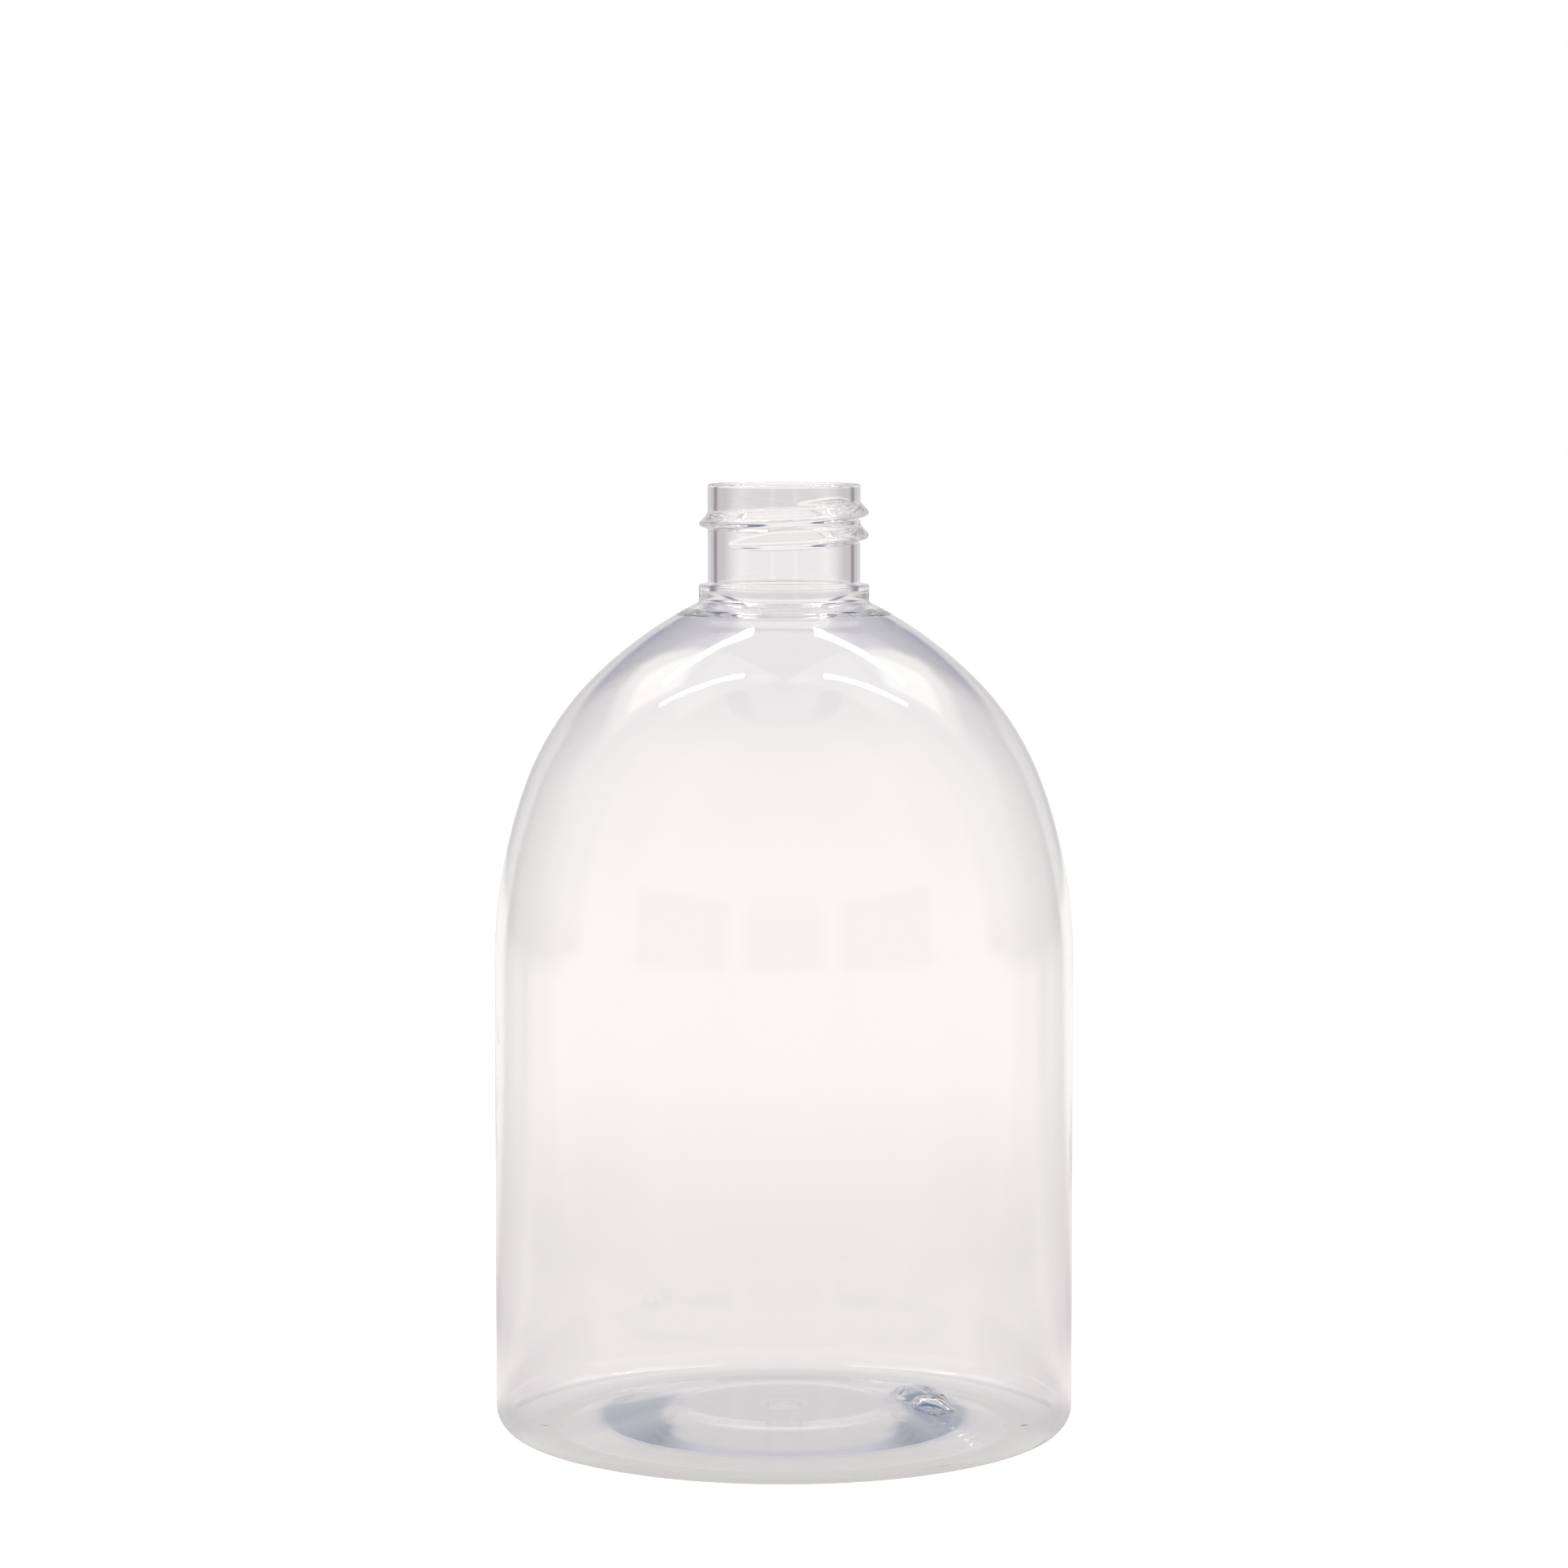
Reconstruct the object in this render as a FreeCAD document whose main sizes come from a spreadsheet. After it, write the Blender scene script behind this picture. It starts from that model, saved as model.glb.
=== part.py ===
# Clear blown bottle in one piece: a bell-shaped round body under a narrow threaded neck.
# Units are millimetres and degrees. The origin is the centre of the resting ring, and +Z
# points up the neck. Angles about +Z are counted anticlockwise from +X.
# The wall is one outside outline less one cavity outline, both turned about +Z and laid out
# from the same sizes, so the wall follows the outside wherever a size changes.
import FreeCAD, Part
import math
import os
import Sketcher

SIZES = {
    "total_height": "134.2",
    "body_diameter": "81.6",
    "body_wall": "0.55",
    # Shoulder: three tangent arcs from the upright side to the neck.
    "side_curve_radius": "71",
    "side_curve_sweep": "20.9",
    "round_curve_radius": "40.6",
    "round_curve_sweep": "25",
    "crown_curve_radius": "58.3",
    # Inside, the crown curves more tightly, so the wall thickens towards the neck.
    "crown_inside_radius": "50",
    # Heel: a tight arc at the side, then a wide one down to the resting ring.
    "heel_radius": "3.6",
    "heel_sweep": "71",
    "foot_radius": "14",
    "ring_width": "2.4",
    # Underside: a shallow step, a cone and a nearly flat centre with the gate mark.
    "step_width": "6.1",
    "step_height": "0.95",
    "step_wall": "0.75",
    "push_up_radius": "14.7",
    "push_up_height": "2.7",
    "push_up_rounding": "20",
    "push_up_wall": "1.3",
    "gate_radius": "2.2",
    "gate_height": "0.5",
    # Neck: a plain bore, a land at the rim, and a collar sunk into the shoulder.
    "finish_height": "16",
    "neck_diameter": "21.5",
    "bore_diameter": "18.9",
    "throat_radius": "3",
    "collar_diameter": "24",
    "collar_top_drop": "14.1",
    "collar_thickness": "3.1",
    "collar_bevel": "0.3",
    "rim_rounding": "0.5",
    "rim_bevel": "0.25",
    # Thread: right-handed, with a long upper flank, a steep lower one, a narrow flat crest
    # and faded ends.
    "thread_diameter": "23.8",
    "thread_pitch": "3.175",
    "thread_turns": "1.34",
    "thread_fade_turns": "0.08",
    "thread_start_angle": "270",
    "thread_start_drop": "8.1",
    "thread_crest_width": "0.5",
    "thread_upper_angle": "48",
    "thread_lower_angle": "25",
    "thread_bite": "0.2",
    # Turning lug: a recess in the underside, seen from above as a boss that grows out of the
    # cone. Its outer side is round about the bottle's axis, just inside the step.
    "lug_angle": "19",
    "lug_step_gap": "0.9",
    "lug_length": "6.5",
    "lug_width": "8.8",
    "lug_height": "4.2",
    "lug_wall": "0.8",
    "lug_corner_rounding": "1.2",
    "lug_recess_rounding": "0.5",
    "lug_top_rounding": "0.5",
}

PART_NAME = "bottle"
UP = FreeCAD.Vector(0, 0, 1)
START, END, CENTRE = range(1, 4)
ORIGIN = (-1, START)
ACROSS_AXIS, UPRIGHT_AXIS = -1, -2
FULL_TURN = 360
MATCH = 0.001

doc = FreeCAD.newDocument("BlownBottle")
sheet = doc.addObject("Spreadsheet::Sheet", "Sizes")
for row, (alias, number) in enumerate(SIZES.items(), start=1):
    sheet.set("A%d" % row, alias)
    sheet.set("B%d" % row, number)
    sheet.setAlias("B%d" % row, alias)
doc.recompute()

body = doc.addObject("PartDesign::Body", "BottleBody")
body.Label = PART_NAME
planes = {plane.Role: plane for plane in body.Origin.OriginFeatures}


def size(alias):
    return float(sheet.get(alias))


def polar(centre, radius, degrees):
    angle = math.radians(degrees)
    return (centre[0] + radius * math.cos(angle), centre[1] + radius * math.sin(angle))


def angle_from(centre, place):
    return math.degrees(math.atan2(place[1] - centre[1], place[0] - centre[0]))


def height_on_arc(centre, radius, reach):
    """Height of an arc's upper half at a distance from the bottle's axis."""
    return centre[1] + math.sqrt(radius ** 2 - (reach - centre[0]) ** 2)


def slope_length(radius, rise):
    """Length along x of a right triangle's side, from its long side and its other side."""
    return math.sqrt(radius ** 2 - rise ** 2)


class Outline:
    """A closed outline in one sketch, drawn end to end.

    On an upright plane x is the distance from the bottle's axis and y the height. Each
    piece is drawn in its place, and joins and named dimensions then hold it there.
    """

    def __init__(self, name, plane="XZ_Plane", turn="0 deg"):
        self.sketch = body.newObject("Sketcher::SketchObject", name)
        self.sketch.AttachmentSupport = [(planes[plane], "")]
        self.sketch.MapMode = "FlatFace"
        spin_axis = FreeCAD.Vector(0, 1, 0) if plane == "XZ_Plane" else UP
        self.sketch.AttachmentOffset.Rotation = FreeCAD.Rotation(spin_axis, 1)
        self.sketch.setExpression("AttachmentOffset.Rotation.Angle", turn)
        self.first = None
        self.last = None

    def hold(self, kind, *where):
        self.sketch.addConstraint(Sketcher.Constraint(kind, *where))

    def follow(self, near_end, far_end, smooth):
        """Join a new piece's near end to the last end drawn."""
        if self.first is None:
            self.first = near_end
        else:
            self.hold("Tangent" if smooth else "Coincident", *self.last, *near_end)
        self.last = far_end

    def line(self, start, end, smooth=False):
        edge = Part.LineSegment(FreeCAD.Vector(*start, 0), FreeCAD.Vector(*end, 0))
        number = self.sketch.addGeometry(edge, False)
        self.follow((number, START), (number, END), smooth)
        return number

    def upright(self, start, end, smooth=False):
        number = self.line(start, end, smooth)
        self.hold("Vertical", number)
        return number

    def level(self, start, end, smooth=False):
        number = self.line(start, end, smooth)
        self.hold("Horizontal", number)
        return number

    def arc(self, name, centre, radius, first, last, rule, clockwise=False, smooth=True):
        """An arc between two angles, drawn from the first one unless it runs clockwise."""
        circle = Part.Circle(FreeCAD.Vector(*centre, 0), UP, radius)
        curve = Part.ArcOfCircle(circle, math.radians(first), math.radians(last))
        number = self.sketch.addGeometry(curve, False)
        ends = [(number, START), (number, END)]
        if clockwise:
            ends.reverse()
        self.follow(ends[0], ends[1], smooth)
        self.bind(name, "Radius", (number,), rule)
        return number

    def close(self, smooth=False):
        self.hold("Tangent" if smooth else "Coincident", *self.last, *self.first)
        return self.sketch

    def bind(self, name, kind, where, rule):
        """A driving dimension whose value comes from the sheet by a rule."""
        value = float(self.sketch.evalExpression(rule))
        unit = "mm"
        if kind == "Angle":
            value = math.radians(value)
            unit = "deg"
        index = self.sketch.addConstraint(Sketcher.Constraint(kind, *where, value))
        self.sketch.renameConstraint(index, name)
        self.sketch.setExpression("Constraints." + name, "(%s) * 1 %s" % (rule, unit))

    def sweep(self, name, number, rule):
        self.bind(name, "Angle", (number,), rule)

    def reach(self, name, place, rule):
        self.bind(name, "DistanceX", (*ORIGIN, *place), rule)

    def height(self, name, place, rule):
        self.bind(name, "DistanceY", (*ORIGIN, *place), rule)

    def corner(self, name, place, lines, reach_rule):
        """The point where two lines would meet if the arc between them weren't there."""
        mark = self.sketch.addGeometry(Part.Point(FreeCAD.Vector(*place, 0)), True)
        for number in lines:
            self.hold("PointOnObject", mark, START, number)
        self.reach(name + "_reach", (mark, START), reach_rule)

    def measure(self, name, kind, place):
        """A dimension that only reports where a point came to lie."""
        spot = self.sketch.getPoint(*place)
        value = spot.x if kind == "DistanceX" else spot.y
        index = self.sketch.addConstraint(Sketcher.Constraint(kind, *ORIGIN, *place, value))
        self.sketch.setDriving(index, False)
        self.sketch.renameConstraint(index, name)


class RoundedCorner:
    """The arc of a given radius that rounds a corner between two neighbouring points."""

    def __init__(self, before, corner, after, radius):
        back = angle_from(corner, before)
        onward = angle_from(corner, after)
        half = (onward - back) % FULL_TURN / 2
        self.radius = radius
        self.start = polar(corner, radius / abs(math.tan(math.radians(half))), back)
        self.end = polar(corner, radius / abs(math.tan(math.radians(half))), onward)
        self.turns_left = half > FULL_TURN / 4
        side = back + half if half < FULL_TURN / 4 else back + half + FULL_TURN / 2
        self.centre = polar(corner, radius / math.sin(math.radians(half)), side)

    def draw(self, outline, name, rule):
        """The arc, drawn on from the outline's last line."""
        start_angle = angle_from(self.centre, self.start)
        end_angle = angle_from(self.centre, self.end)
        if self.turns_left:
            return outline.arc(name, self.centre, self.radius, start_angle, end_angle, rule)
        return outline.arc(name, self.centre, self.radius, end_angle, start_angle, rule, True)


def feature_from(kind, name, sketch, axis=None, settings=None, rules=None):
    """A feature of the body made from a sketch, with fixed settings and bound sizes."""
    feature = body.newObject(kind, name)
    feature.Profile = sketch
    if axis:
        feature.ReferenceAxis = (sketch, [axis])
    for key, value in (settings or {}).items():
        setattr(feature, key, value)
    for key, rule in (rules or {}).items():
        feature.setExpression(key, rule)
    doc.recompute()
    return feature


def turned(kind, name, sketch):
    """A sketch turned all the way about the bottle's axis, as material or as a cut."""
    return feature_from(kind, name, sketch, "V_Axis", {"Angle": FULL_TURN})


def rounded(name, base, edges, rule):
    fillet = body.newObject("PartDesign::Fillet", name)
    fillet.Base = (base, edges)
    fillet.setExpression("Radius", rule)
    doc.recompute()
    return fillet


def bevelled(name, base, edges, rule):
    chamfer = body.newObject("PartDesign::Chamfer", name)
    chamfer.Base = (base, edges)
    chamfer.setExpression("Size", rule)
    doc.recompute()
    return chamfer


def reach_of(edge):
    """The distance from the bottle's axis to an edge's furthest end."""
    return max(math.hypot(corner.X, corner.Y) for corner in edge.Vertexes)


def level_edges(shape, height, fits):
    """Names of the edges that lie wholly at a height and whose reach fits."""
    names = []
    for number, edge in enumerate(shape.Edges, start=1):
        box = edge.BoundBox
        level = abs(box.ZMin - height) < MATCH and abs(box.ZMax - height) < MATCH
        if level and fits(reach_of(edge)):
            names.append("Edge%d" % number)
    return names


def circle_edges(shape, height, radius):
    """Names of the circles of one radius about the bottle's axis, at a height."""
    return level_edges(shape, height, lambda reach: abs(reach - radius) < MATCH)


side_end = size("side_curve_sweep")
round_end = side_end + size("round_curve_sweep")
body_radius = size("body_diameter") / 2
neck_radius = size("neck_diameter") / 2
bore_radius = size("bore_diameter") / 2
crown_height = size("total_height") - size("finish_height")


class Shoulder:
    """Centres and radii of the three shoulder arcs, outside or a wall further in."""

    def __init__(self, wall, crown_radius, start_height):
        self.side_radius = size("side_curve_radius") - wall
        self.round_radius = size("round_curve_radius") - wall
        self.crown_radius = crown_radius
        self.side = (body_radius - size("side_curve_radius"), start_height)
        self.round = polar(self.side, self.side_radius - self.round_radius, side_end)
        self.crown = polar(self.round, self.round_radius - crown_radius, round_end)


class Heel:
    """Centres and radii of the heel's two arcs, outside or a wall further in."""

    def __init__(self, wall):
        self.heel_radius = size("heel_radius") - wall
        self.foot_radius = size("foot_radius") - wall
        difference = size("foot_radius") - size("heel_radius")
        lift = difference * math.sin(math.radians(size("heel_sweep")))
        self.heel = (body_radius - size("heel_radius"), size("foot_radius") - lift)
        self.foot = polar(self.heel, difference, FULL_TURN / 2 - size("heel_sweep"))


RING_INNER_RULE = "OutsideOutline.Constraints.foot_reach / 1 mm - Sizes.ring_width"
STEP_RULE = RING_INNER_RULE + " - Sizes.step_width"
ring_inner_reach = Heel(0).foot[0] - size("ring_width")
step_reach = ring_inner_reach - size("step_width")


def draw_side(outline, shoulder, heel, wall, wall_rule):
    """The shoulder's two lower arcs, the upright side and the heel, drawn downwards."""
    less_wall = " - " + wall_rule if wall_rule else ""
    radius = body_radius - wall
    number = outline.arc("round_curve", shoulder.round, shoulder.round_radius, side_end, round_end,
                         "Sizes.round_curve_radius" + less_wall, clockwise=True)
    outline.sweep("round_sweep", number, "Sizes.round_curve_sweep")
    number = outline.arc("side_curve", shoulder.side, shoulder.side_radius, 0, side_end,
                         "Sizes.side_curve_radius" + less_wall, clockwise=True)
    outline.sweep("side_sweep", number, "Sizes.side_curve_sweep")
    side = outline.upright((radius, shoulder.side[1]), (radius, heel.heel[1]), smooth=True)
    outline.reach("side_reach", (side, START), "Sizes.body_diameter / 2" + less_wall)
    number = outline.arc("heel", heel.heel, heel.heel_radius, -size("heel_sweep"), 0,
                         "Sizes.heel_radius" + less_wall, clockwise=True)
    outline.sweep("heel_sweep", number, "Sizes.heel_sweep")
    outline.arc("foot", heel.foot, heel.foot_radius, -FULL_TURN / 4, -size("heel_sweep"),
                "Sizes.foot_radius" + less_wall, clockwise=True)
    return side


def draw_solid_form():
    """The bottle's outside without its collar, thread and underside."""
    rise = Shoulder(0, size("crown_curve_radius"), 0)
    start_height = crown_height - height_on_arc(rise.crown, rise.crown_radius, neck_radius)
    shoulder = Shoulder(0, size("crown_curve_radius"), start_height)
    heel = Heel(0)
    rim = (neck_radius, size("total_height"))
    neck_foot = (neck_radius, crown_height)
    outline = Outline("OutsideOutline")
    axis = outline.upright((0, 0), (0, size("total_height")))
    outline.hold("Coincident", axis, START, *ORIGIN)
    outline.height("total_height", (axis, END), "Sizes.total_height")
    top = outline.level((0, size("total_height")), rim)
    outline.reach("neck_reach", (top, END), "Sizes.neck_diameter / 2")
    neck = outline.upright(rim, neck_foot)
    outline.height("crown_height", (neck, END), "Sizes.total_height - Sizes.finish_height")
    outline.arc("crown_curve", shoulder.crown, shoulder.crown_radius, round_end,
                angle_from(shoulder.crown, neck_foot), "Sizes.crown_curve_radius",
                clockwise=True, smooth=False)
    side = draw_side(outline, shoulder, heel, 0, "")
    ground = outline.level((heel.foot[0], 0), (0, 0), smooth=True)
    sketch = outline.close()
    outline.measure("shoulder_start", "DistanceY", (side, START))
    outline.measure("foot_reach", "DistanceX", (ground, START))
    turned("PartDesign::Revolution", "SolidForm", sketch)
    return start_height


def draw_collar():
    """The collar that carries the neck, sunk into the shoulder under it."""
    radius = size("collar_diameter") / 2
    root = (neck_radius + bore_radius) / 2
    top = size("total_height") - size("collar_top_drop")
    bottom = top - size("collar_thickness")
    top_rule = "Sizes.total_height - Sizes.collar_top_drop"
    outline = Outline("CollarOutline")
    floor = outline.level((root, bottom), (radius, bottom))
    outline.reach("root_reach", (floor, START), "(Sizes.neck_diameter + Sizes.bore_diameter) / 4")
    outline.height("bottom", (floor, START), top_rule + " - Sizes.collar_thickness")
    side = outline.upright((radius, bottom), (radius, top))
    outline.reach("collar_reach", (side, START), "Sizes.collar_diameter / 2")
    outline.height("top", (side, END), top_rule)
    outline.level((radius, top), (root, top))
    outline.upright((root, top), (root, bottom))
    collar = turned("PartDesign::Revolution", "Collar", outline.close())
    bevelled("CollarBevel", collar, circle_edges(collar.Shape, top, radius), "Sizes.collar_bevel")


def thread_section(name, turn_rule, height_rule):
    """The thread's section: two flanks and a flat crest, rooted inside the neck's wall."""
    outline = Outline(name, turn=turn_rule)
    middle = float(outline.sketch.evalExpression(height_rule))
    crest = size("thread_diameter") / 2
    root = neck_radius - size("thread_bite")
    half_crest = size("thread_crest_width") / 2
    root_top = middle + half_crest + (crest - root) * math.tan(math.radians(size("thread_upper_angle")))
    root_bottom = middle - half_crest - (crest - root) * math.tan(math.radians(size("thread_lower_angle")))
    lower_flank = outline.line((root, root_bottom), (crest, middle - half_crest))
    crest_line = outline.upright((crest, middle - half_crest), (crest, middle + half_crest))
    outline.line((crest, middle + half_crest), (root, root_top))
    back = outline.upright((root, root_top), (root, root_bottom))
    root_rule = "Sizes.neck_diameter / 2 - Sizes.thread_bite"
    flank_rule = "(Sizes.thread_diameter / 2 - (%s)) * tan(%s * 1 deg)"
    upper_rule = flank_rule % (root_rule, "Sizes.thread_upper_angle")
    lower_rule = flank_rule % (root_rule, "Sizes.thread_lower_angle")
    outline.reach("crest_reach", (crest_line, START), "Sizes.thread_diameter / 2")
    outline.height("crest_bottom", (crest_line, START), height_rule + " - Sizes.thread_crest_width / 2")
    outline.height("crest_top", (crest_line, END), height_rule + " + Sizes.thread_crest_width / 2")
    outline.reach("root_reach", (lower_flank, START), root_rule)
    outline.height("root_top", (back, START),
                   "%s + Sizes.thread_crest_width / 2 + %s" % (height_rule, upper_rule))
    outline.height("root_bottom", (back, END),
                   "%s - Sizes.thread_crest_width / 2 - %s" % (height_rule, lower_rule))
    return outline.close()


def thread_run(name, section, turns, growth, downward=False):
    """Thread along a helix about the neck that grows outwards by so much each turn."""
    settings = {"Mode": "height-turns-growth", "Reversed": downward}
    rules = {"Turns": turns, "Height": "Sizes.thread_pitch * " + turns, "Growth": growth}
    return feature_from("PartDesign::AdditiveHelix", name, section, "V_Axis", settings, rules)


def draw_thread():
    """The full thread, and at each end a short run that sinks into the neck."""
    low = "Sizes.total_height - Sizes.thread_start_drop"
    high = low + " + Sizes.thread_pitch * Sizes.thread_turns"
    start = "Sizes.thread_start_angle * 1 deg"
    end = "(Sizes.thread_start_angle + %d * Sizes.thread_turns) * 1 deg" % FULL_TURN
    depth = "((Sizes.thread_diameter - Sizes.neck_diameter) / 2 + Sizes.thread_bite)"
    fade = "-%s / Sizes.thread_fade_turns" % depth
    thread_run("Thread", thread_section("ThreadSection", start, low), "Sizes.thread_turns", "0")
    low_section = thread_section("ThreadLowEndSection", start, low)
    thread_run("ThreadLowEnd", low_section, "Sizes.thread_fade_turns", fade, downward=True)
    high_section = thread_section("ThreadHighEndSection", end, high)
    thread_run("ThreadHighEnd", high_section, "Sizes.thread_fade_turns", fade)


def draw_cavity(start_height):
    """The inside: bore, throat, the outside's arcs a wall further in, and the floor."""
    wall = size("body_wall")
    shoulder = Shoulder(wall, size("crown_inside_radius"), start_height)
    heel = Heel(wall)
    throat = size("throat_radius")
    throat_reach = bore_radius + throat
    throat_height = height_on_arc(shoulder.crown, shoulder.crown_radius + throat, throat_reach)
    throat_centre = (throat_reach, throat_height)
    throat_end = angle_from(shoulder.crown, throat_centre)
    floor_height = size("push_up_height") + size("push_up_wall")
    foot_end = (heel.foot[0], wall)
    ring_corner = (ring_inner_reach, wall)
    step_corner = (step_reach, size("step_height") + size("step_wall"))
    push_up_corner = (size("push_up_radius"), floor_height)
    centre = (0, floor_height)
    push_up_bend = RoundedCorner(step_corner, push_up_corner, centre, size("push_up_rounding"))

    outline = Outline("CavityOutline")
    axis = outline.upright(centre, (0, size("total_height")))
    outline.hold("PointOnObject", axis, START, UPRIGHT_AXIS)
    outline.height("floor_height", (axis, START), "Sizes.push_up_height + Sizes.push_up_wall")
    outline.height("total_height", (axis, END), "Sizes.total_height")
    outline.level((0, size("total_height")), (bore_radius, size("total_height")))
    bore = outline.upright((bore_radius, size("total_height")), (bore_radius, throat_height))
    outline.reach("bore_reach", (bore, START), "Sizes.bore_diameter / 2")
    outline.arc("throat", throat_centre, throat, FULL_TURN / 2, FULL_TURN / 2 + throat_end,
                "Sizes.throat_radius")
    outline.arc("crown_inside", shoulder.crown, shoulder.crown_radius, round_end, throat_end,
                "Sizes.crown_inside_radius", clockwise=True)
    side = draw_side(outline, shoulder, heel, wall, "Sizes.body_wall")
    outline.height("shoulder_start", (side, START), "OutsideOutline.Constraints.shoulder_start / 1 mm")
    ring = outline.level(foot_end, ring_corner, smooth=True)
    outline.height("ring_height", (ring, START), "Sizes.body_wall")
    outline.reach("ring_inner_reach", (ring, END), RING_INNER_RULE)
    outline.line(ring_corner, step_corner)
    cone = outline.line(step_corner, push_up_bend.start)
    outline.reach("step_reach", (cone, START), STEP_RULE)
    outline.height("step_height", (cone, START), "Sizes.step_height + Sizes.step_wall")
    push_up_bend.draw(outline, "push_up_rounding", "Sizes.push_up_rounding")
    floor = outline.level(push_up_bend.end, centre, smooth=True)
    outline.corner("push_up", push_up_corner, (cone, floor), "Sizes.push_up_radius")
    turned("PartDesign::Groove", "Cavity", outline.close())


def lug_outline(name, inset, inset_rule, rounding, rounding_rule):
    """Seen from above: a straight inner end, two level sides and a round outer side."""
    half_width = size("lug_width") / 2 - inset
    outer = step_reach - size("lug_step_gap") - inset
    inner = step_reach - size("lug_step_gap") - size("lug_length")
    corner_reach = slope_length(outer - rounding, half_width - rounding)
    corner_centre = (corner_reach, half_width - rounding)
    opposite_centre = (corner_reach, rounding - half_width)
    spread = angle_from((0, 0), corner_centre)
    outline = Outline(name, "XY_Plane", "Sizes.lug_angle * 1 deg")
    outline.level((inner, -half_width), (corner_reach, -half_width))
    outline.arc("first_corner", opposite_centre, rounding, -FULL_TURN / 4, -spread, rounding_rule)
    outer_rule = STEP_RULE + " - Sizes.lug_step_gap" + inset_rule
    outer_side = outline.arc("outer_side", (0, 0), outer, -spread, spread, outer_rule)
    outline.hold("Coincident", outer_side, CENTRE, *ORIGIN)
    outline.arc("last_corner", corner_centre, rounding, spread, FULL_TURN / 4, rounding_rule)
    side = outline.level((corner_reach, half_width), (inner, half_width), smooth=True)
    outline.height("half_width", (side, END), "Sizes.lug_width / 2" + inset_rule)
    inner_end = outline.line((inner, half_width), (inner, -half_width))
    outline.hold("Symmetric", inner_end, START, inner_end, END, ACROSS_AXIS)
    inner_rule = STEP_RULE + " - Sizes.lug_step_gap - Sizes.lug_length"
    outline.reach("inner_reach", (inner_end, START), inner_rule)
    return outline.close()


def draw_lug_boss():
    """The lug as it stands up inside the bottle, before the underside is cut."""
    sketch = lug_outline("LugBossOutline", 0, "", size("lug_corner_rounding"),
                         "Sizes.lug_corner_rounding")
    boss = feature_from("PartDesign::Pad", "LugBoss", sketch, rules={"Length": "Sizes.lug_height"})
    middle_reach = step_reach - size("lug_step_gap") - size("lug_length") / 2
    edges = level_edges(boss.Shape, size("lug_height"), lambda reach: reach > middle_reach)
    rounded("LugTopRounding", boss, edges, "Sizes.lug_top_rounding")


def draw_underside():
    """The hollow under the bottle: step, cone, nearly flat centre and gate mark."""
    ring_corner = (ring_inner_reach, 0)
    step_corner = (step_reach, size("step_height"))
    push_up_corner = (size("push_up_radius"), size("push_up_height"))
    gate_edge = (size("gate_radius"), size("push_up_height"))
    gate_face = size("push_up_height") - size("gate_height")
    push_up_bend = RoundedCorner(gate_edge, push_up_corner, step_corner, size("push_up_rounding"))
    outline = Outline("UndersideOutline")
    axis = outline.upright((0, 0), (0, gate_face))
    outline.hold("Coincident", axis, START, *ORIGIN)
    gate = outline.level((0, gate_face), (size("gate_radius"), gate_face))
    outline.reach("gate_reach", (gate, END), "Sizes.gate_radius")
    outline.height("gate_face", (gate, END), "Sizes.push_up_height - Sizes.gate_height")
    outline.upright((size("gate_radius"), gate_face), gate_edge)
    centre = outline.level(gate_edge, push_up_bend.start)
    outline.height("push_up_height", (centre, START), "Sizes.push_up_height")
    push_up_bend.draw(outline, "push_up_rounding", "Sizes.push_up_rounding")
    cone = outline.line(push_up_bend.end, step_corner, smooth=True)
    outline.reach("step_reach", (cone, END), STEP_RULE)
    outline.height("step_height", (cone, END), "Sizes.step_height")
    outline.line(step_corner, ring_corner)
    ground = outline.level(ring_corner, (0, 0))
    outline.reach("ring_inner_reach", (ground, START), RING_INNER_RULE)
    outline.corner("push_up", push_up_corner, (centre, cone), "Sizes.push_up_radius")
    turned("PartDesign::Groove", "Underside", outline.close())


def draw_lug_recess():
    """The lug's hollow, open below, with a wall left round it."""
    sketch = lug_outline("LugRecessOutline", size("lug_wall"), " - Sizes.lug_wall",
                         size("lug_recess_rounding"), "Sizes.lug_recess_rounding")
    feature_from("PartDesign::Pocket", "LugRecess", sketch, settings={"Reversed": True},
                 rules={"Length": "Sizes.lug_height - Sizes.lug_wall"})


def draw_rim():
    """The rim's outer edge rounded and its inner edge bevelled, with a flat land between."""
    top = size("total_height")
    outer_edges = circle_edges(body.Tip.Shape, top, neck_radius)
    rounded("RimRounding", body.Tip, outer_edges, "Sizes.rim_rounding")
    inner_edges = circle_edges(body.Tip.Shape, top, bore_radius)
    bevelled("RimBevel", body.Tip, inner_edges, "Sizes.rim_bevel")


shoulder_start = draw_solid_form()
draw_collar()
draw_thread()
draw_cavity(shoulder_start)
draw_lug_boss()
draw_underside()
draw_lug_recess()
draw_rim()
body.Placement = FreeCAD.Placement()
doc.recompute()

for thing in doc.Objects:
    if "Invalid" in thing.State or "Error" in thing.State:
        raise RuntimeError("%s failed: %s" % (thing.Label, thing.State))
if body.Shape.isNull() or not body.Shape.isValid() or len(body.Shape.Solids) != 1:
    raise RuntimeError("%s isn't one valid solid" % PART_NAME)
os.makedirs("parts", exist_ok=True)
body.Shape.exportStep("parts/%s.step" % PART_NAME)
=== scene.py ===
# Clear blown bottle: one closed skin of clear plastic, outside and inside, on a pale floor.
# The skin is modelled in millimetres and put into metres as its mesh is made. Angles about
# +Z are counted anticlockwise from +X, and the front of the bottle faces -Y.
import math

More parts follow.
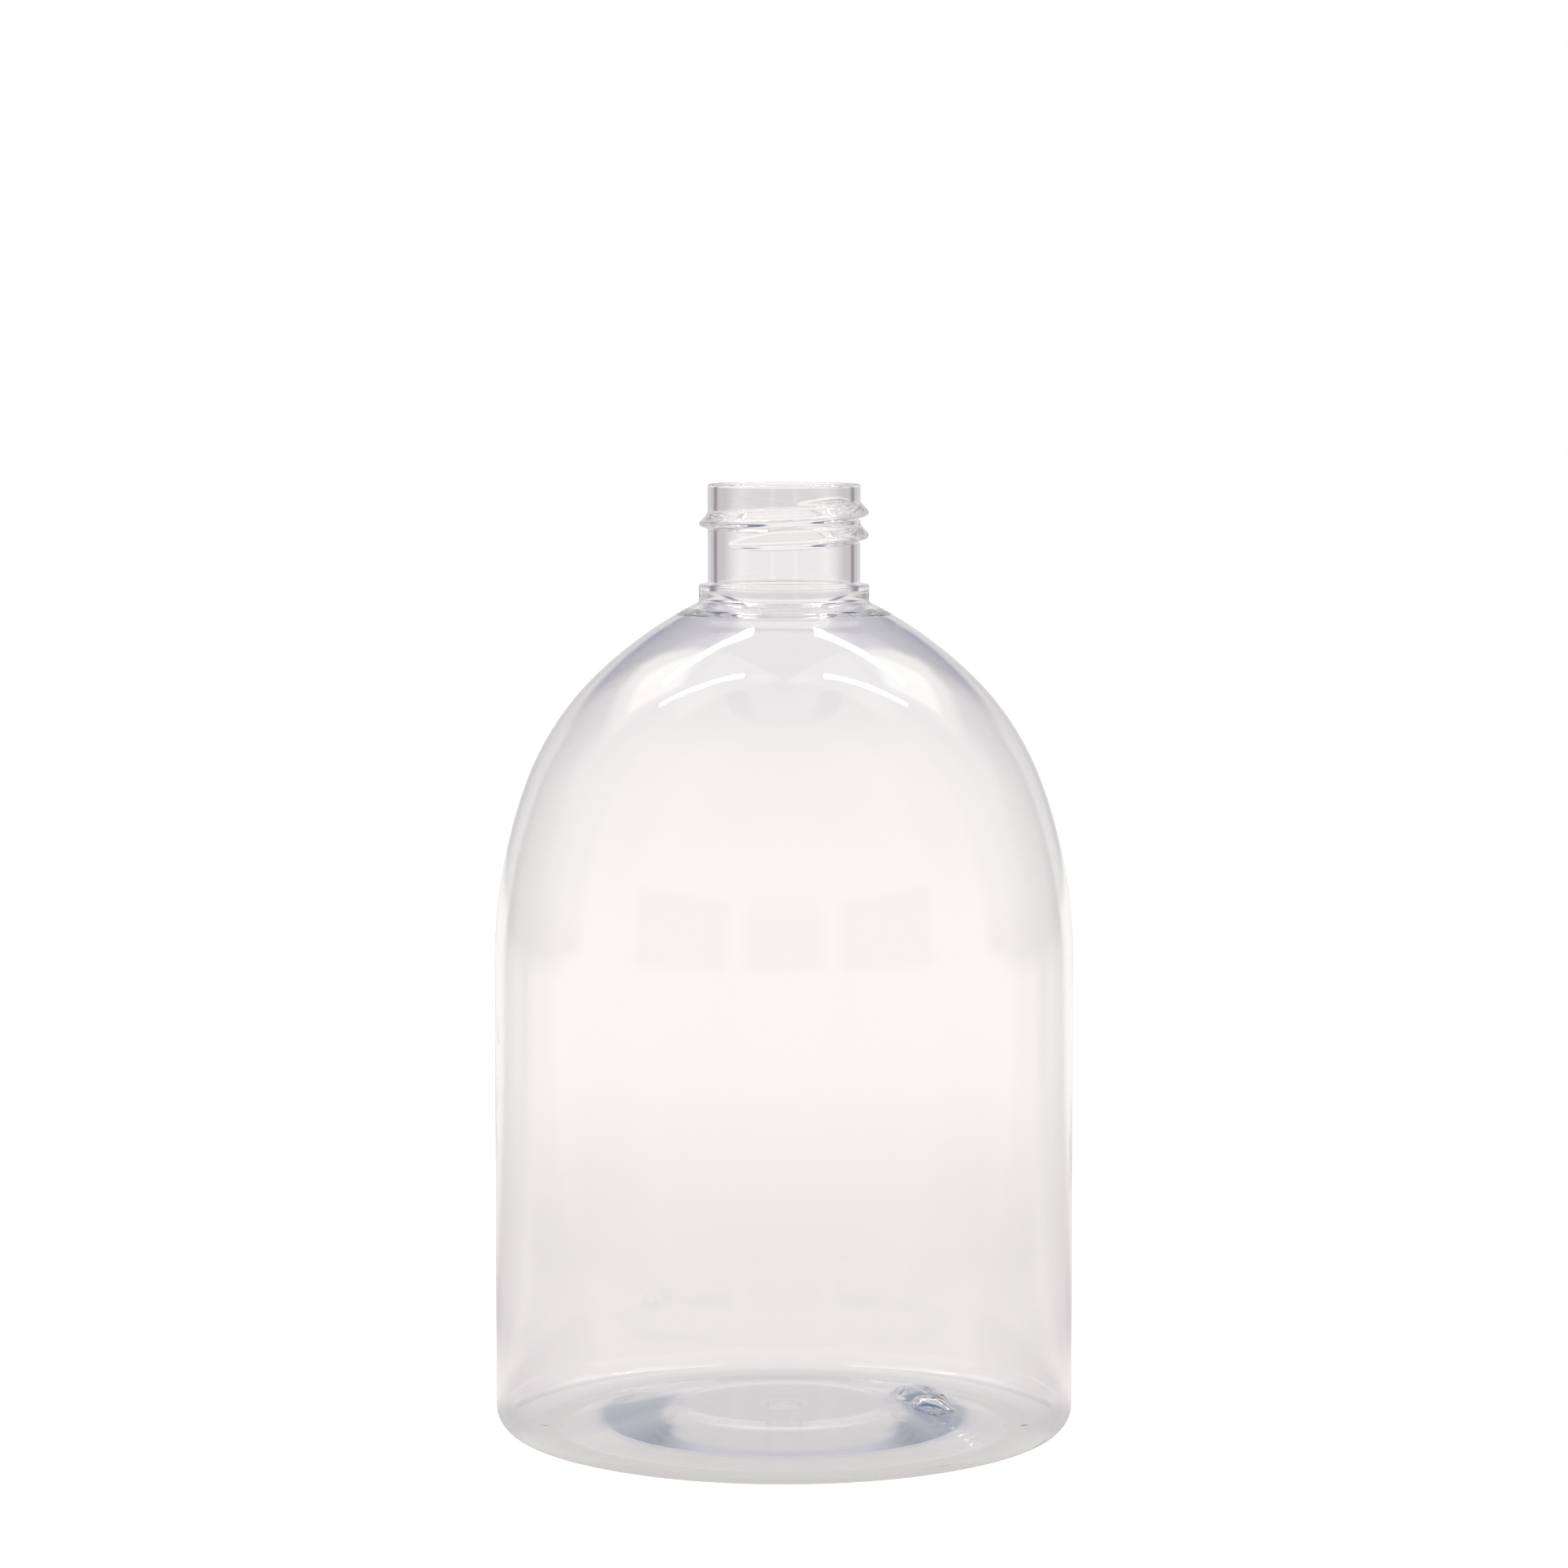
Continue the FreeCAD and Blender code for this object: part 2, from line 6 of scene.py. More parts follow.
import bpy
import numpy as np
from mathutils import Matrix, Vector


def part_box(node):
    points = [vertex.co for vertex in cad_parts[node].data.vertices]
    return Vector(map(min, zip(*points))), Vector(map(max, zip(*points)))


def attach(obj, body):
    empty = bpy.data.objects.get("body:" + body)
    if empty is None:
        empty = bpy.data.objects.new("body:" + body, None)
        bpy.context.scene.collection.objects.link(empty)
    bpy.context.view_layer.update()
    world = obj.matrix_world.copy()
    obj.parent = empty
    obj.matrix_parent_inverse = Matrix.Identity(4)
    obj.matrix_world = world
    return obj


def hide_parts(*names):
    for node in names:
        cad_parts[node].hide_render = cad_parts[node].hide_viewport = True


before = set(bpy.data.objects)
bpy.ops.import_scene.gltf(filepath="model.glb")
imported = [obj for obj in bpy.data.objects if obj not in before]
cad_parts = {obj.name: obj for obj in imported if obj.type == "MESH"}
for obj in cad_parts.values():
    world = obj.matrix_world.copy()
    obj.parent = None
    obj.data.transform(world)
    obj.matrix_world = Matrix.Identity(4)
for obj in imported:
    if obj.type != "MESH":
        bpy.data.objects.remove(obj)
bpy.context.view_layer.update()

MM = 0.001
FULL_TURN = 360

# Driving sizes, in millimetres and degrees. Overall height and girth come from the frame.
high_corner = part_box("bottle")[1]
TOTAL_HEIGHT = round(high_corner[2] / MM, 2)
BODY_RADIUS = round(high_corner[0] / MM, 1)
BODY_WALL = 0.55
SIDE_CURVE_RADIUS = 71
SIDE_CURVE_SWEEP = 20.9
ROUND_CURVE_RADIUS = 40.6
ROUND_CURVE_SWEEP = 25
CROWN_CURVE_RADIUS = 58.3
HEEL_RADIUS = 3.6
HEEL_SWEEP = 71
FOOT_RADIUS = 14
RING_WIDTH = 2.4
STEP_WIDTH = 6.1
STEP_HEIGHT = 0.95
STEP_WALL = 0.75
PUSH_UP_RADIUS = 14.7
PUSH_UP_HEIGHT = 2.7
PUSH_UP_WALL = 1.3
GATE_RADIUS = 2.2
GATE_HEIGHT = 0.5
FINISH_HEIGHT = 16
NECK_RADIUS = 10.75
BORE_RADIUS = 9.45
THROAT_RADIUS = 3
COLLAR_RADIUS = 12
COLLAR_TOP_DROP = 14.1

# Roundings of the skin's corners, and the room that those of rim and collar take.
RIM_OUTER_ROUNDING = 0.5
RIM_INNER_ROUNDING = 0.3
COLLAR_ROUNDING = 0.35
COLLAR_ROOT_ROUNDING = 0.3
RING_ROUNDING = 2
RIM_DEPTH = 3
COLLAR_FOOT_SWEEP = 1.2
STEP_ROUNDING = 6
PUSH_UP_ROUNDING = 12
GATE_ROUNDING = 0.2

# Thread: one right-handed start that fades into the neck at both ends.
THREAD_RADIUS = 11.9
THREAD_PITCH = 3.175
THREAD_START = 270
THREAD_SWEEP = 482.4
THREAD_FADE = 45
THREAD_START_DROP = 8.1
THREAD_CREST = 0.26
THREAD_UPPER_ANGLE = 48
THREAD_LOWER_ANGLE = 25
THREAD_SOFTNESS = 0.17
THREAD_FADE_POWER = 1.6
THREAD_LAPS = 3
THREAD_TOP_DROP = 1.6
THREAD_BOTTOM_DROP = 9.3

# Thick ring at the neck's root, and faint rings in the base where the plastic set.
ROOT_RADIUS = 13.8
ROOT_THICKNESS = 0.35
ROOT_BLEND = 0.9
ROOT_DEPTH = 8
RIPPLE_PITCH = 3.5
RIPPLE_HEIGHT = 0.028
RIPPLE_REACH = 15

# The mould's parting line at the foot, at +X and -X.
PARTING_NICK = 0.25
PARTING_WIDTH = 0.4
PARTING_INNER = 31.5

# Turning lug moulded in the base.
LUG_ANGLE = 19
LUG_RADIUS = 24.4
LUG_LENGTH = 6.5
LUG_WIDTH = 8.8
LUG_HEIGHT = 4.2
LUG_WALL = 0.8
LUG_EDGE = 0.9
LUG_CORNER = 0.8
LUG_TOP_POWER = 2.2

# The plastic, with its broad waves and fine grain.
PLASTIC_COLOUR = (0.985, 0.987, 0.992, 1)
PLASTIC_INDEX = 1.575
PLASTIC_ROUGHNESS = 0.015
GRAIN_ROUGHNESS = 0.02
WAVE_SCALE = 45.0
GRAIN_SCALE = 260.0
WAVE_SHARE = 0.85
RELIEF_STRENGTH = 0.35
RELIEF_DISTANCE = 0.0001

# What the camera sees of the room and the floor.
WHITE = (1, 1, 1, 1)
FLOOR_PAINT = (0.9, 0.9, 0.9, 1)
FLOOR_GLOW = (0.85, 0.85, 0.85, 1)

# Colours of the studio, as the plastic sees them.
BACKDROP_COLOUR = (0.90, 0.87, 0.875, 1)
BACKDROP_SIDE_COLOUR = (0.635, 0.615, 0.625, 1)
UPPER_BACKDROP_COLOUR = (0.72, 0.70, 0.71, 1)
TOP_LIGHT_COLOUR = (0.95, 0.93, 0.94, 1)
TOP_FADE_COLOUR = (0.60, 0.58, 0.59, 1)
GAP_COLOUR = (0.01, 0.03, 0.15, 1)
EDGE_COLOUR = (0.27, 0.24, 0.27, 1)
WALL_COLOUR = (0.44, 0.40, 0.43, 1)
ROOM_COLOUR = (0.64, 0.60, 0.63, 1)
SIDE_PANEL_COLOUR = (0.95, 0.91, 0.87, 1)
SOFT_BOX_COLOUR = (1.75, 1.68, 1.58, 1)
FRONT_PANEL_COLOUR = (1.0, 0.955, 0.91, 1)
FRONT_WINDOW_COLOUR = (0.67, 0.64, 0.615, 1)
FRONT_CEILING_COLOUR = (0.64, 0.605, 0.605, 1)
CAMERA_SIDE_COLOUR = (0.64, 0.615, 0.59, 1)
# The floor's glow, seen by the plastic only: pale far off, with painted shade near the bottle, at
# its sides and in front of it.
FLOOR_COLOUR = (0.985, 0.955, 0.935, 1)
FRONT_FLOOR_COLOUR = (1.0, 0.96, 0.925, 1)
NEAR_FLOOR_SHADE_COLOUR = (0.87, 0.835, 0.825, 1)
SIDE_FLOOR_SHADE_COLOUR = (0.65, 0.62, 0.63, 1)
FRONT_SHADE_COLOUR = (0.66, 0.64, 0.63, 1)
NEAR_SIDE_SHADE_COLOUR = (0.63, 0.60, 0.61, 1)
# Painted shade on the floor under the bottle, with dark blue-grey patches at its sides for the base
# to show.
UNDER_SHADE_COLOUR = (0.60, 0.58, 0.58, 1)
UNDER_FRONT_SHADE_COLOUR = (0.49, 0.485, 0.57, 1)
UNDER_RING_SHADE_COLOUR = (0.62, 0.60, 0.585, 1)
UNDER_SIDE_SHADE_COLOUR = (0.01, 0.075, 0.19, 1)

# Where the studio's parts begin and end: degrees aside from straight behind the bottle, and
# degrees of rise. A third number is the softness of both edges.
BACKDROP_SIDE_ASIDE = 4, 18
EDGE_ASIDE = 34, 40
WALL_ASIDE = 50, 56
ROOM_ASIDE = 62, 70
ROOM_RISE = 0, 6
OVERHEAD_RISE = 13, 20
TOP_FADE_RISE = 46, 62
TOP_EDGE_ASIDE = 19.8, 23
TOP_EDGE_LEAN = 0.333
GAP_ASIDE = 11, 17
GAP_END_RISE = 55, 62
SIDE_ROOM_ASIDE = 50, 66
SIDE_PANEL_RISE = 30, 37
SIDE_PANEL_END_ASIDE = 64, 72
SIDE_CEILING_RISE = 52, 60
SOFT_BOX_ASIDE = 43, 63, 2
SOFT_BOX_RISE = 40, 57, 2
FRONT_ASIDE = 88, 96
WINDOW_ASIDE = 119, 158, 2
WINDOW_RISE = -4, 13.5, 1.5
LOW_CEILING_RISE = 16, 30
HIGH_CEILING_RISE = 40, 66
LOW_CEILING_SHARE = 0.4
CAMERA_SIDE_ASIDE = 161, 168
CAMERA_SIDE_END_RISE = 8, 22

# The floor: its half width, and where its painted shades begin and end, by reach in metres from the
# bottle's axis and by degrees aside as above.
FLOOR_HALF = 6.0
NEAR_REACH = 0.12, 0.40
NEAR_SIDE_ASIDE = 72, 108, 8
SIDE_SHADE_ASIDE = 33, 66, 8
SIDE_SHADE_REACH = 0.055, 0.11
FRONT_SHADE_ASIDE = 110, 158
FRONT_SHADE_REACH = 0.055, 0.12
FRONT_FLOOR_ASIDE = 56, 95
FAR_SIDE_ASIDE = 37, 64, 5
EARLY_ASIDE = 37, 85, 5
EARLY_REACH = 0.42, 1.3
FADE_REACH = 1.0, 2.4
WORLD_REACH = 3.5, 4.8

# The painted shade on the floor under the bottle. Its ring is centred a little behind the axis, and
# its turns are degrees from straight in front.
UNDER_REACH = 0.036, 0.044
UNDER_CENTRE = 0.009
UNDER_FRONT_RING = 0.0145, 0.0275, 0.0015
UNDER_FRONT_TURN = 80, 120
UNDER_OUTER_RING = 0.027, 0.029
UNDER_OUTER_TURN = 100, 125
UNDER_SIDE_RING = 0.0155, 0.0260, 0.001
UNDER_SIDE_ACROSS = 0.0105, 0.0185
UNDER_SIDE_TURN = 112, 126

# Overhead strips: how far aside and forward, length, width (each by their height), and turn.
STRIPS = (("rear", 0.403, 0.405, 0.494, 0.05, 7.6), ("front", 0.462, 0.141, 0.541, 0.022, 17))
STRIP_POWER = 22
STRIP_HEIGHT = 1.3

# The camera, and how much it sees across at the point that it aims at, in metres.
CAMERA_DISTANCE = 0.694
CAMERA_HEIGHT = 0.150
TARGET_HEIGHT = 0.09196
PHOTO_WIDTH = 0.22046
NEAREST_SEEN = 0.01
SENSOR_WIDTH = 36

# Light is often mirrored inside the thin wall before it leaves it.
LIGHT_BOUNCES = 96

# Fineness of the mesh round the bottle, in degrees apart from the counts.
TURN_STEPS = 232
LUG_STEP = 0.35
LUG_STEPS = 20
LUG_SIDE_START = 9
PARTING_TURNS = 0.2, 0.4, 0.6, 0.8

# Fineness along the skin: steps of its arcs, and lengths of its rows.
CORNER_STEPS = 5
FINE_CROWN = 4.5
FINE_CROWN_STEPS = 14
CROWN_STEPS = 8
ROUND_CURVE_STEPS = 9
SIDE_CURVE_STEPS = 8
HEEL_STEPS = 10
FOOT_STEPS = 4
THROAT_STEPS = 8
THREAD_ROW = 0.118
LONG_ROW = 11
BASE_ROW = 1.1
LUG_ROW = 0.22
LUG_ROWS_INSIDE = 1.6
LUG_ROWS_OUTSIDE = 0.3
ROW_SLACK = 0.01
HOLD = 0.06
HELD_FROM = 3


def polar(centre, radius, degrees):
    angle = math.radians(degrees)
    return (centre[0] + radius * math.cos(angle), centre[1] + radius * math.sin(angle))


def angle_from(centre, place):
    return math.degrees(math.atan2(place[1] - centre[1], place[0] - centre[0]))


def arc(centre, radius, first, last, steps):
    """Points along an arc, with both its ends."""
    return [polar(centre, radius, first + (last - first) * step / steps)
            for step in range(steps + 1)]


def height_on_arc(centre, radius, reach):
    return centre[1] + math.sqrt(radius ** 2 - (reach - centre[0]) ** 2)


def rounded_corner(before, corner, after, radius, steps):
    """The arc that rounds a corner, as points from the first line to the second."""
    back = angle_from(corner, before)
    onward = angle_from(corner, after)
    half = (onward - back) % FULL_TURN / 2
    if half > FULL_TURN / 4:
        half -= FULL_TURN / 2
    slope = math.radians(half)
    centre = polar(corner, radius / math.sin(abs(slope)), back + half)
    first = polar(corner, radius / math.tan(abs(slope)), back)
    last = polar(corner, radius / math.tan(abs(slope)), onward)
    start_angle = angle_from(centre, first)
    sweep = (angle_from(centre, last) - start_angle + FULL_TURN / 2) % FULL_TURN - FULL_TURN / 2
    return arc(centre, radius, start_angle, start_angle + sweep, steps)


def rounded_path(corners):
    """A path through corners given as (reach, height, rounding); its two ends stay sharp."""
    path = [corners[0][:2]]
    for before, corner, after in zip(corners, corners[1:], corners[2:]):
        path += rounded_corner(before[:2], corner[:2], after[:2], corner[2], CORNER_STEPS)
    return path + [corners[-1][:2]]


def divided(path, longest):
    """The same path with extra points. longest gives the longest step at a reach."""
    points = [path[0]]
    for start, end in zip(path, path[1:]):
        middle_reach = (start[0] + end[0]) / 2
        count = max(math.ceil(math.dist(start, end) / longest(middle_reach) - ROW_SLACK), 1)
        for step in range(1, count + 1):
            share = step / count
            points.append((start[0] + (end[0] - start[0]) * share,
                           start[1] + (end[1] - start[1]) * share))
    return points


def held(path):
    """The same path with a point close to each end of its long runs, to keep them straight."""
    lengths = [math.dist(start, end) for start, end in zip(path, path[1:])]
    points = [path[0]]
    for index, (start, end) in enumerate(zip(path, path[1:])):
        length = lengths[index]
        step = ((end[0] - start[0]) * HOLD / length, (end[1] - start[1]) * HOLD / length)
        if index > 0 and length > HELD_FROM * lengths[index - 1]:
            points.append((start[0] + step[0], start[1] + step[1]))
        if index + 1 < len(lengths) and length > HELD_FROM * lengths[index + 1]:
            points.append((end[0] - step[0], end[1] - step[1]))
        points.append(end)
    return points


class Shoulder:
    """Centres and radii of the shoulder's arcs, outside or a wall further in."""

    def __init__(self, wall, crown_radius, start_height):
        self.side_radius = SIDE_CURVE_RADIUS - wall
        self.round_radius = ROUND_CURVE_RADIUS - wall
        self.crown_radius = crown_radius
        self.round_end = SIDE_CURVE_SWEEP + ROUND_CURVE_SWEEP
        self.side = (BODY_RADIUS - SIDE_CURVE_RADIUS, start_height)
        self.round = polar(self.side, self.side_radius - self.round_radius, SIDE_CURVE_SWEEP)
        self.crown = polar(self.round, self.round_radius - crown_radius, self.round_end)

    def curve(self, crown_end):
        """The shoulder from the crown down to the upright side, finer by the neck."""
        fine_end = crown_end - FINE_CROWN
        crown = arc(self.crown, self.crown_radius, crown_end, fine_end, FINE_CROWN_STEPS)
        crown += arc(self.crown, self.crown_radius, fine_end, self.round_end, CROWN_STEPS)[1:]
        middle = arc(self.round, self.round_radius, self.round_end, SIDE_CURVE_SWEEP,
                     ROUND_CURVE_STEPS)
        lower = arc(self.side, self.side_radius, SIDE_CURVE_SWEEP, 0, SIDE_CURVE_STEPS)
        return crown + middle[1:] + lower[1:]


def heel_curve(wall):
    """The heel from the upright side down to the ring that the bottle stands on."""
    difference = FOOT_RADIUS - HEEL_RADIUS
    heel_height = FOOT_RADIUS - difference * math.sin(math.radians(HEEL_SWEEP))
    heel = (BODY_RADIUS - HEEL_RADIUS, heel_height)
    foot = polar(heel, difference, FULL_TURN / 2 - HEEL_SWEEP)
    upper = arc(heel, HEEL_RADIUS - wall, 0, -HEEL_SWEEP, HEEL_STEPS)
    lower = arc(foot, FOOT_RADIUS - wall, -HEEL_SWEEP, -FULL_TURN / 4, FOOT_STEPS)
    return upper + lower[1:]


CROWN_HEIGHT = TOTAL_HEIGHT - FINISH_HEIGHT
trial = Shoulder(0, CROWN_CURVE_RADIUS, 0)
SHOULDER_START = CROWN_HEIGHT - height_on_arc(trial.crown, CROWN_CURVE_RADIUS, NECK_RADIUS)
FOOT_REACH = heel_curve(0)[-1][0]
RING_INNER = FOOT_REACH - RING_WIDTH
STEP_RADIUS = RING_INNER - STEP_WIDTH


def base_row_length(reach):
    """Short rows where the lug's round outer side stands up, longer ones elsewhere."""
    if LUG_RADIUS - LUG_ROWS_INSIDE < reach < LUG_RADIUS + LUG_ROWS_OUTSIDE:
        return LUG_ROW
    return BASE_ROW


def side_row_length(_):
    return LONG_ROW


def thread_row_length(_):
    return THREAD_ROW


def inside_rows():
    """The inside from the centre of the floor up to the mouth."""
    floor_height = PUSH_UP_HEIGHT + PUSH_UP_WALL
    shoulder = Shoulder(BODY_WALL, CROWN_CURVE_RADIUS - BODY_WALL, SHOULDER_START)
    heel = heel_curve(BODY_WALL)
    floor = rounded_path([
        (0, floor_height),
        (PUSH_UP_RADIUS, floor_height, PUSH_UP_ROUNDING),
        (STEP_RADIUS, STEP_HEIGHT + STEP_WALL, STEP_ROUNDING),
        (RING_INNER, BODY_WALL, STEP_ROUNDING),
        heel[-1],
    ])
    throat_reach = BORE_RADIUS + THROAT_RADIUS
    throat_arc = shoulder.crown_radius + THROAT_RADIUS
    throat_height = height_on_arc(shoulder.crown, throat_arc, throat_reach)
    throat_centre = (throat_reach, throat_height)
    throat_end = angle_from(shoulder.crown, throat_centre)
    throat = arc(throat_centre, THROAT_RADIUS, FULL_TURN / 2, FULL_TURN / 2 + throat_end,
                 THROAT_STEPS)
    wall = list(reversed(throat + shoulder.curve(throat_end)[1:] + heel[:-1]))
    bore_foot = (BORE_RADIUS, throat_height + HOLD)
    return divided(floor, base_row_length), divided(held(wall), side_row_length) + [bore_foot]


def neck_rows():
    """The rim and the neck's outside, down to the collar and its foot on the shoulder."""
    shoulder = Shoulder(0, CROWN_CURVE_RADIUS, SHOULDER_START)
    thread_top = TOTAL_HEIGHT - THREAD_TOP_DROP
    thread_bottom = TOTAL_HEIGHT - THREAD_BOTTOM_DROP
    collar_top = TOTAL_HEIGHT - COLLAR_TOP_DROP
    foot_height = height_on_arc(shoulder.crown, CROWN_CURVE_RADIUS, COLLAR_RADIUS)
    collar_foot = (COLLAR_RADIUS, foot_height)
    crown_start = angle_from(shoulder.crown, collar_foot) - COLLAR_FOOT_SWEEP
    rim = rounded_path([
        (BORE_RADIUS, TOTAL_HEIGHT - RIM_DEPTH),
        (BORE_RADIUS, TOTAL_HEIGHT, RIM_INNER_ROUNDING),
        (NECK_RADIUS, TOTAL_HEIGHT, RIM_OUTER_ROUNDING),
        (NECK_RADIUS, thread_top),
    ])
    threaded = divided([(NECK_RADIUS, thread_top), (NECK_RADIUS, thread_bottom)],
                       thread_row_length)
    collar = rounded_path([
        (NECK_RADIUS, thread_bottom),
        (NECK_RADIUS, collar_top, COLLAR_ROOT_ROUNDING),
        (COLLAR_RADIUS, collar_top, COLLAR_ROUNDING),
        (*collar_foot, COLLAR_ROOT_ROUNDING),
        polar(shoulder.crown, CROWN_CURVE_RADIUS, crown_start),
    ])
    return held(rim), threaded[1:-1], held(collar), crown_start


def outside_rows(crown_start):
    """The outside from the crown down to the ring, and the hollow under the bottle."""
    shoulder = Shoulder(0, CROWN_CURVE_RADIUS, SHOULDER_START)
    gate_face = PUSH_UP_HEIGHT - GATE_HEIGHT
    wall = shoulder.curve(crown_start)[1:] + heel_curve(0)
    hollow = rounded_path([
        (FOOT_REACH, 0),
        (RING_INNER, 0, RING_ROUNDING),
        (STEP_RADIUS, STEP_HEIGHT, STEP_ROUNDING),
        (PUSH_UP_RADIUS, PUSH_UP_HEIGHT, PUSH_UP_ROUNDING),
        (GATE_RADIUS, PUSH_UP_HEIGHT, GATE_ROUNDING),
        (GATE_RADIUS, gate_face, GATE_ROUNDING),
        (0, gate_face),
    ])
    return divided(held(wall), side_row_length), divided(hollow[1:], base_row_length)


def softly_above(first, second, softness):
    """The higher of two heights, with the crease between them rounded."""
    gap = np.clip(0.5 + (first - second) / (2 * softness), 0, 1)
    return second + (first - second) * gap + softness * gap * (1 - gap)


def thread_relief(turn, heights):
    """How far the thread stands out of the neck, at an angle and some heights."""
    depth = THREAD_RADIUS - NECK_RADIUS
    relief = np.zeros_like(heights)
    for lap in range(THREAD_LAPS):
        along = turn + FULL_TURN * lap - THREAD_START
        past_end = max(-along, along - THREAD_SWEEP, 0)
        if past_end >= THREAD_FADE:
            continue
        share = 1 - (past_end / THREAD_FADE) ** THREAD_FADE_POWER
        crest = TOTAL_HEIGHT - THREAD_START_DROP + THREAD_PITCH * along / FULL_TURN
        offset = heights - crest
        upper = (offset - THREAD_CREST) / math.tan(math.radians(THREAD_UPPER_ANGLE))
        lower = (-offset - THREAD_CREST) / math.tan(math.radians(THREAD_LOWER_ANGLE))
        drop = softly_above(softly_above(upper, lower, THREAD_SOFTNESS), 0, THREAD_SOFTNESS)
        ridge = softly_above(depth * share - drop, 0, THREAD_SOFTNESS)
        relief = np.maximum(relief, ridge)
    return relief


def lug_share(reaches, turn, inset):
    """How much of the lug's height is reached, from 0 outside it to 1 on its top."""
    swing = math.radians(turn - LUG_ANGLE)
    across = LUG_WIDTH / 2 - inset - np.abs(reaches * math.sin(swing))
    outward = LUG_RADIUS - inset - reaches
    inward = reaches * math.cos(swing) - (LUG_RADIUS - LUG_LENGTH) - inset
    sides = softly_above(-across, -outward, LUG_CORNER)
    nearest = -softly_above(sides, -inward, LUG_CORNER)
    inside = np.clip(nearest / LUG_EDGE, 0, 1) * (math.cos(swing) > 0)
    return 1 - (1 - inside) ** LUG_TOP_POWER


def root_ring(reaches):
    """How much thicker the wall is inside the ring at the neck's root."""
    share = np.clip((ROOT_RADIUS + ROOT_BLEND - reaches) / (2 * ROOT_BLEND), 0, 1)
    return ROOT_THICKNESS * share * share * (3 - 2 * share)


def ripples(reaches):
    """Faint rings round the gate, dying away towards the cone."""
    fade = np.clip(1 - reaches / RIPPLE_REACH, 0, 1)
    return RIPPLE_HEIGHT * np.cos(2 * np.pi * reaches / RIPPLE_PITCH) * np.sqrt(fade)


def parting_nick(reaches, turn):
    """A fine groove across the foot's ring where the two halves of the mould meet."""
    aside = np.abs(reaches * math.sin(math.radians(turn)))
    across = np.clip(1 - aside / PARTING_WIDTH, 0, 1)
    return PARTING_NICK * across * (reaches > PARTING_INNER)


def turn_angles():
    """Angles round the bottle, closer together at the lug's sides and the parting line."""
    angles = {round(FULL_TURN * step / TURN_STEPS, 3) for step in range(TURN_STEPS)}
    for middle in (0, FULL_TURN / 2):
        for offset in PARTING_TURNS:
            angles.add(middle + offset)
            angles.add((middle - offset) % FULL_TURN)
    for side in (-1, 1):
        for step in range(LUG_STEPS):
            offset = LUG_SIDE_START + LUG_STEP * step
            angles.add(round((LUG_ANGLE + side * offset) % FULL_TURN, 3))
    return sorted(angles)


def skin():
    """Rows of (reach, height) from the floor's centre, over the rim, to the hollow's centre."""
    floor, inner_wall = inside_rows()
    rim, threaded, collar, crown_start = neck_rows()
    outer_wall, hollow = outside_rows(crown_start)
    rows = {"floor": floor, "inner_wall": inner_wall, "rim": rim, "thread": threaded,
            "collar": collar, "outer_wall": outer_wall, "hollow": hollow}
    zones = []
    places = []
    for zone, points in rows.items():
        zones += [zone] * len(points)
        places += points
    return np.array(zones), np.array(places)


def bottle_mesh():
    zones, places = skin()
    angles = turn_angles()
    count = len(places)
    rings = []
    for turn in angles:
        reach = places[:, 0].copy()
        height = places[:, 1].copy()
        on = zones == "thread"
        reach[on] += thread_relief(turn, height[on])
        for zone, inset in (("floor", 0), ("hollow", LUG_WALL)):
            on = zones == zone
            top = LUG_HEIGHT - inset
            rise = np.maximum(top - height[on], 0) * lug_share(reach[on], turn, inset)
            height[on] += rise
        on = zones == "floor"
        height[on] += ripples(reach[on])
        on = zones == "hollow"
        height[on] += parting_nick(reach[on], turn)
        on = (zones == "inner_wall") & (height > CROWN_HEIGHT - ROOT_DEPTH)
        height[on] -= root_ring(reach[on])
        angle = math.radians(turn)
        rings.append(np.column_stack([reach * math.cos(angle), reach * math.sin(angle), height]))
    grid = np.array(rings)
    turns = len(angles)
    inner = grid[:, 1:-1].reshape(-1, 3)
    vertices = np.vstack([inner, grid[0, 0], grid[0, -1]]) * MM
    span = count - 2
    first_pole = turns * span
    faces = []
    for step in range(turns):
        here = step * span
        there = (step + 1) % turns * span
        faces.append((first_pole, here, there))
        for row in range(span - 1):
            faces.append((here + row, here + row + 1, there + row + 1, there + row))
        faces.append((first_pole + 1, there + span - 1, here + span - 1))
    mesh = bpy.data.meshes.new("clear_bottle")
    mesh.from_pydata(vertices.tolist(), [], faces)
    mesh.update()
    for polygon in mesh.polygons:
        polygon.use_smooth = True
    triangles = sum(len(face) - 2 for face in faces)
    print("bottle:", count, "rows,", turns, "turns,", triangles, "triangles")
    return mesh


class Value:
    """A number that a node gives. Python's operators on it add Math nodes."""

    def __init__(self, finish, socket):
        self.finish = finish
        self.socket = socket

    def math(self, operation, *others):
        inputs = dict(enumerate((self,) + others))
        return self.finish.value("ShaderNodeMath", {"operation": operation}, inputs)

    def flipped(self, operation, other):
        return self.finish.value("ShaderNodeMath", {"operation": operation}, {0: other, 1: self})

    def __add__(self, other):
        return self.math("ADD", other)

    def __sub__(self, other):
        return self.math("SUBTRACT", other)

    def __rsub__(self, other):
        return self.flipped("SUBTRACT", other)

    def __mul__(self, other):
        return self.math("MULTIPLY", other)

    def __abs__(self):
        return self.math("ABSOLUTE")

    __radd__ = __add__
    __rmul__ = __mul__

    def ramp(self, start, end):
        """0 before start and 1 after end, smooth between them."""
        settings = {"interpolation_type": "SMOOTHSTEP"}
        inputs = {"Value": self, "From Min": start, "From Max": end}
        return self.finish.value("ShaderNodeMapRange", settings, inputs)


